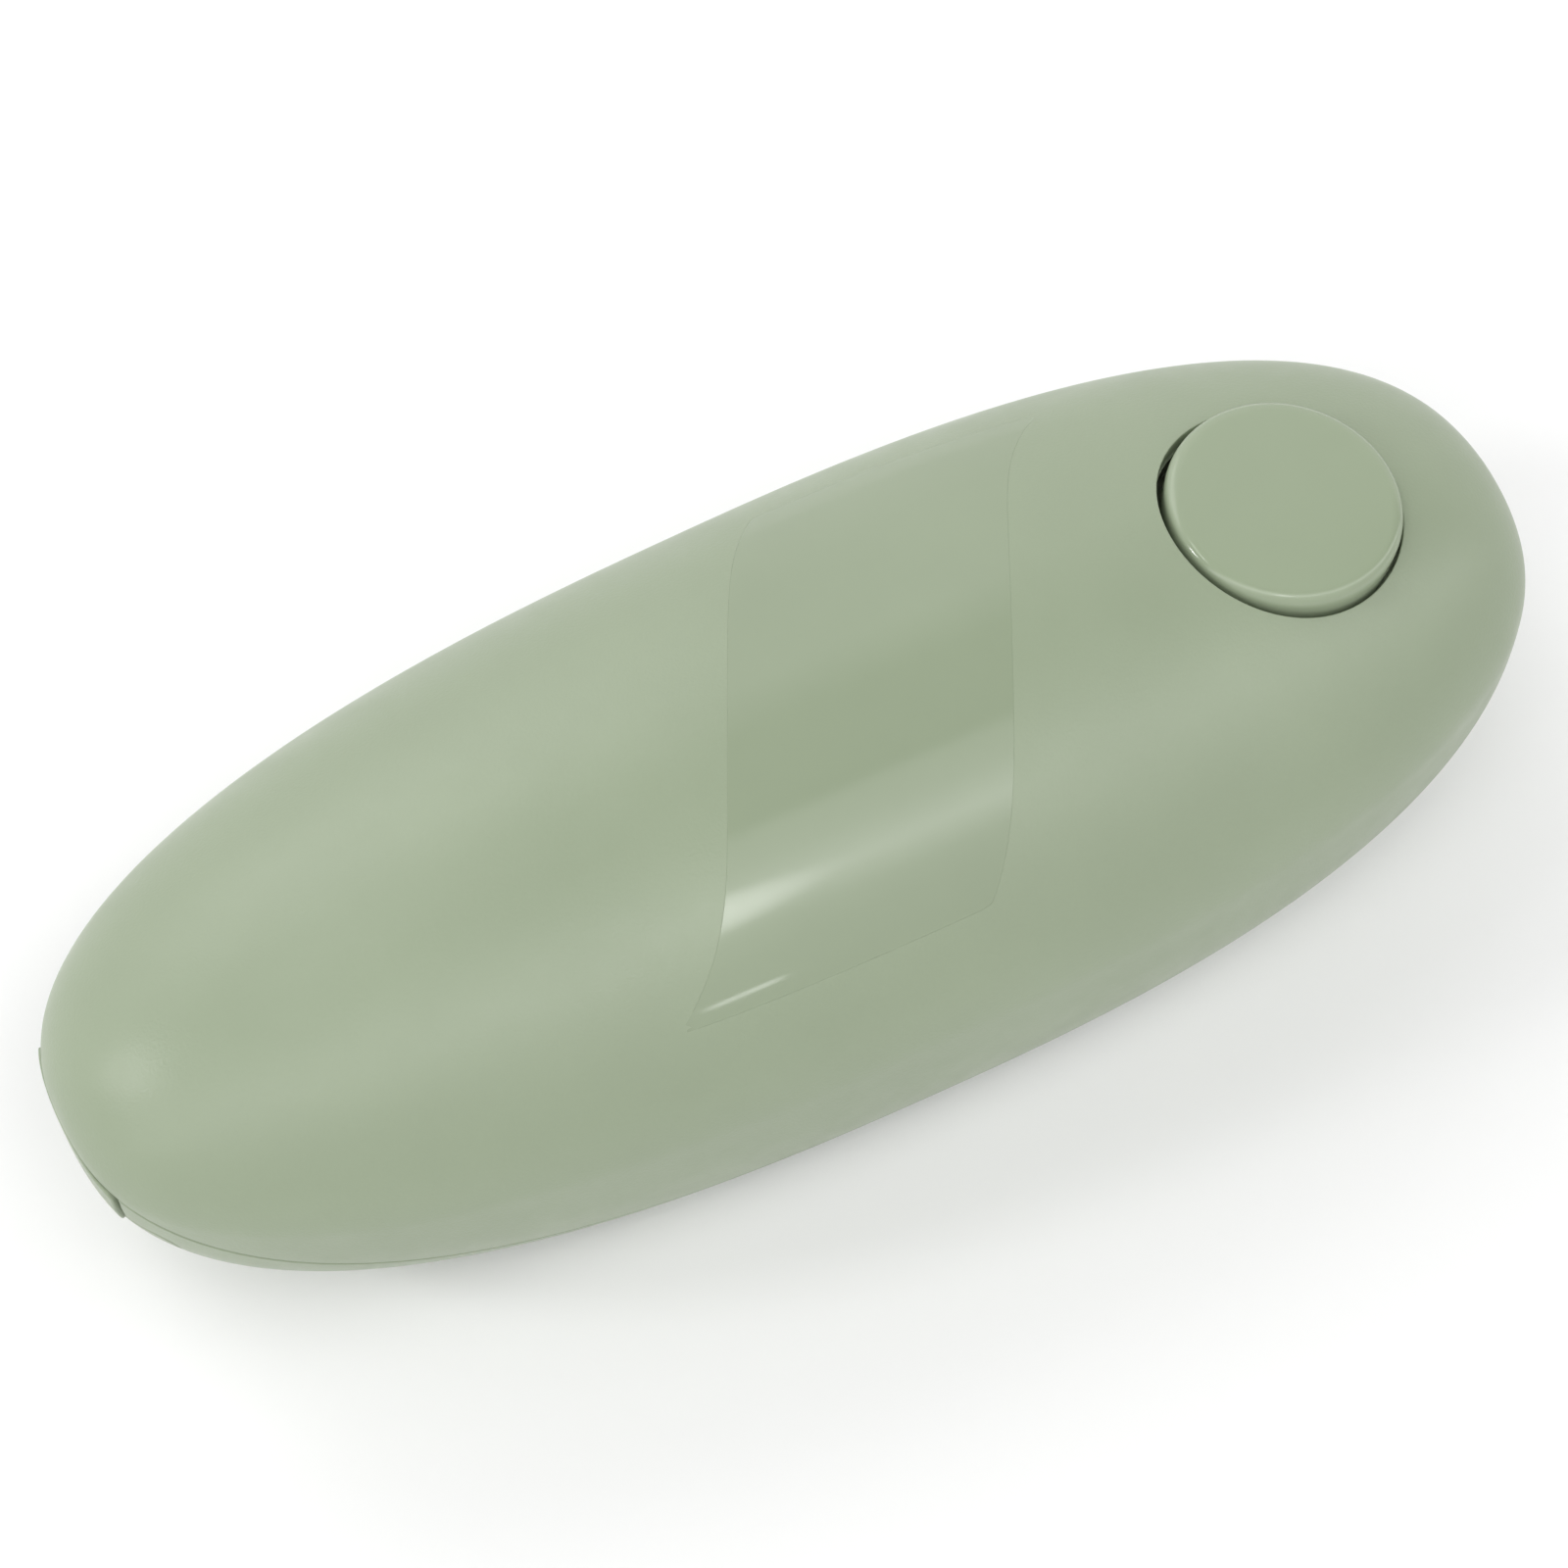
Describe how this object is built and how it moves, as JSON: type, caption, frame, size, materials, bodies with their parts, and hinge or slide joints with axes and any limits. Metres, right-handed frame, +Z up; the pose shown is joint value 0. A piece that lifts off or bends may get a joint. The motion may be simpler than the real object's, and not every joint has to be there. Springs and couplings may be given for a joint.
{
  "type": "electric can opener",
  "caption": "Hands-free electric can opener: long egg-shaped casing with a round start button over a side-cutting head, geared motor and battery bay under a sliding door.",
  "frame": {"origin": "centre of the footprint's bounding box on the surface that the opener stands on", "axes": "+X along the casing to the cutting head and start button, +Z up, Y across"},
  "size_m": [0.186, 0.0724, 0.0562],
  "materials": {
    "shell_plastic": "fine satin texture",
    "gloss_plastic": "high gloss",
    "button_plastic": "semi-gloss",
    "foot_rubber": "matt",
    "screw_steel": "zinc plated",
    "spring_steel": "nickel plated",
    "black_plastic": "matt",
    "board_green": "solder mask",
    "cell_sleeve": "printed sleeve, plain",
    "lead_red": "soft vinyl",
    "plated_steel": "zinc plated",
    "ferrite": "sintered",
    "armature": "wound copper",
    "brass": "turned",
    "bronze": "sintered",
    "white_nylon": "moulded",
    "gear_steel": "turned",
    "hard_steel": "ground",
    "stainless": "brushed",
    "cam_steel": "stamped",
    "magnet_nickel": "nickel plated"
  },
  "bodies": {
    "housing": {"top_shell": "shell_plastic", "gloss_band": "gloss_plastic", "bottom_shell": "shell_plastic", "rubber_feet": "foot_rubber", "housing_screws": "screw_steel", "button_spring": "spring_steel", "switch_body": "black_plastic", "circuit_board": "board_green", "board_screws": "screw_steel", "battery_tray": "black_plastic", "battery_cells": "cell_sleeve", "contact_springs": "spring_steel", "contact_plates": "spring_steel", "motor_leads": "lead_red", "motor_can": "plated_steel", "motor_end_cap": "black_plastic", "motor_magnets": "ferrite", "shaft_bushes": "bronze", "gear_axles": "gear_steel", "lower_gear_plate": "plated_steel", "upper_gear_plate": "plated_steel", "plate_pillars": "brass", "plate_screws": "screw_steel", "base_plate": "stainless", "base_plate_screws": "screw_steel", "cam_bush": "bronze", "lid_magnet": "magnet_nickel", "magnet_holder": "black_plastic"},
    "door": {"battery_door": "shell_plastic"},
    "button": {"start_button": "button_plastic"},
    "lever": {"switch_lever": "spring_steel"},
    "rotor": {"motor_rotor": "armature", "motor_pinion": "brass"},
    "gear_one": {"reduction_gear_1": "white_nylon"},
    "gear_two": {"reduction_gear_2": "white_nylon"},
    "drive": {"output_gear": "gear_steel", "output_shaft": "gear_steel", "drive_wheel": "hard_steel", "shaft_clip": "spring_steel"},
    "cam": {"cutter_cam": "cam_steel", "cutter_screw": "screw_steel"},
    "cutter": {"cutter_wheel": "hard_steel"}
  },
  "joints": [
    {"name": "battery_door_slide", "type": "slide", "parent": "housing", "child": "door", "axis": [-1, 0, 0], "range_m": [0, 0.075]},
    {"name": "start_button_press", "type": "slide", "parent": "housing", "child": "button", "axis": [-0.1236, 0, -0.9923], "range_m": [0, 0.0025], "stiffness_N_per_m": 400, "springref_m": -0.001, "deforming": ["button_spring"]},
    {"name": "switch_lever_tip", "type": "hinge", "parent": "housing", "child": "lever", "pos_m": [0.05208, 0, 0.03576], "axis": [0, 1, 0], "range_deg": [0, 14.32]},
    {"name": "motor_spin", "type": "hinge", "parent": "housing", "child": "rotor", "pos_m": [0.00007, 0, 0.03], "axis": [0, 0, 1], "continuous": true},
    {"name": "gear_1_spin", "type": "hinge", "parent": "housing", "child": "gear_one", "pos_m": [0.01475, 0.00312, 0.015], "axis": [0, 0, 1], "continuous": true},
    {"name": "gear_2_spin", "type": "hinge", "parent": "housing", "child": "gear_two", "pos_m": [0.02977, -0.00295, 0.015], "axis": [0, 0, 1], "continuous": true},
    {"name": "drive_wheel_spin", "type": "hinge", "parent": "housing", "child": "drive", "pos_m": [0.046, 0, 0.01], "axis": [0, 0, 1], "continuous": true},
    {"name": "cutter_cam_swing", "type": "hinge", "parent": "housing", "child": "cam", "pos_m": [0.062, 0.01, 0.005], "axis": [0, 0, -1], "range_deg": [0, 28.8]},
    {"name": "cutter_wheel_spin", "type": "hinge", "parent": "cam", "child": "cutter", "pos_m": [0.0651, 0, 0.0022], "axis": [0, 0, 1], "continuous": true}
  ],
  "couplings": [
    {"joint": "switch_lever_tip", "follows": "start_button_press", "rad_per_m": 100},
    {"joint": "gear_1_spin", "follows": "motor_spin", "ratio": -0.2},
    {"joint": "gear_2_spin", "follows": "motor_spin", "ratio": 0.045455},
    {"joint": "drive_wheel_spin", "follows": "motor_spin", "ratio": -0.013369}
  ]
}
